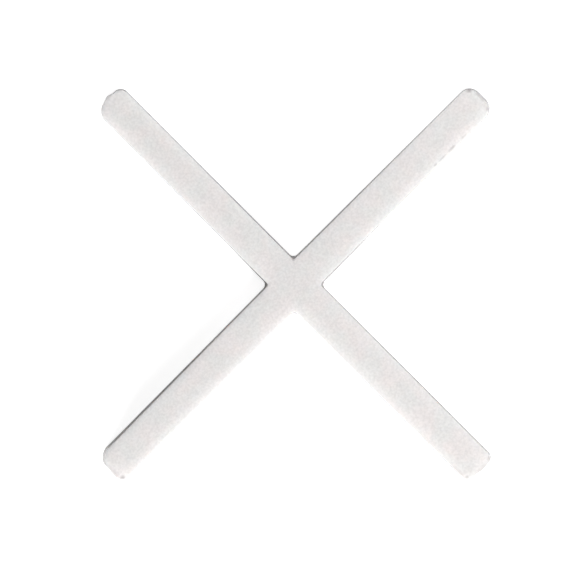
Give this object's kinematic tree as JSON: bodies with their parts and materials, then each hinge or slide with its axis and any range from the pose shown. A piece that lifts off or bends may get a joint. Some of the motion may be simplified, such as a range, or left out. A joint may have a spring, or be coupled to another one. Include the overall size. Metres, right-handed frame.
{
  "type": "tile spacer",
  "caption": "Cross shaped tile spacer, moulded in one piece, with thin arms whose walls lean in slightly from the back to the front face.",
  "frame": {"origin": "centre of the cross, on the back face that it lies on", "axes": "+Z out of the front face, arms along +X, -X, +Y and -Y"},
  "size_m": [0.028, 0.028, 0.004],
  "materials": {
    "plastic": "fine matte moulded surface, off-white"
  },
  "bodies": {
    "root": {"spacer": "plastic"}
  },
  "joints": []
}
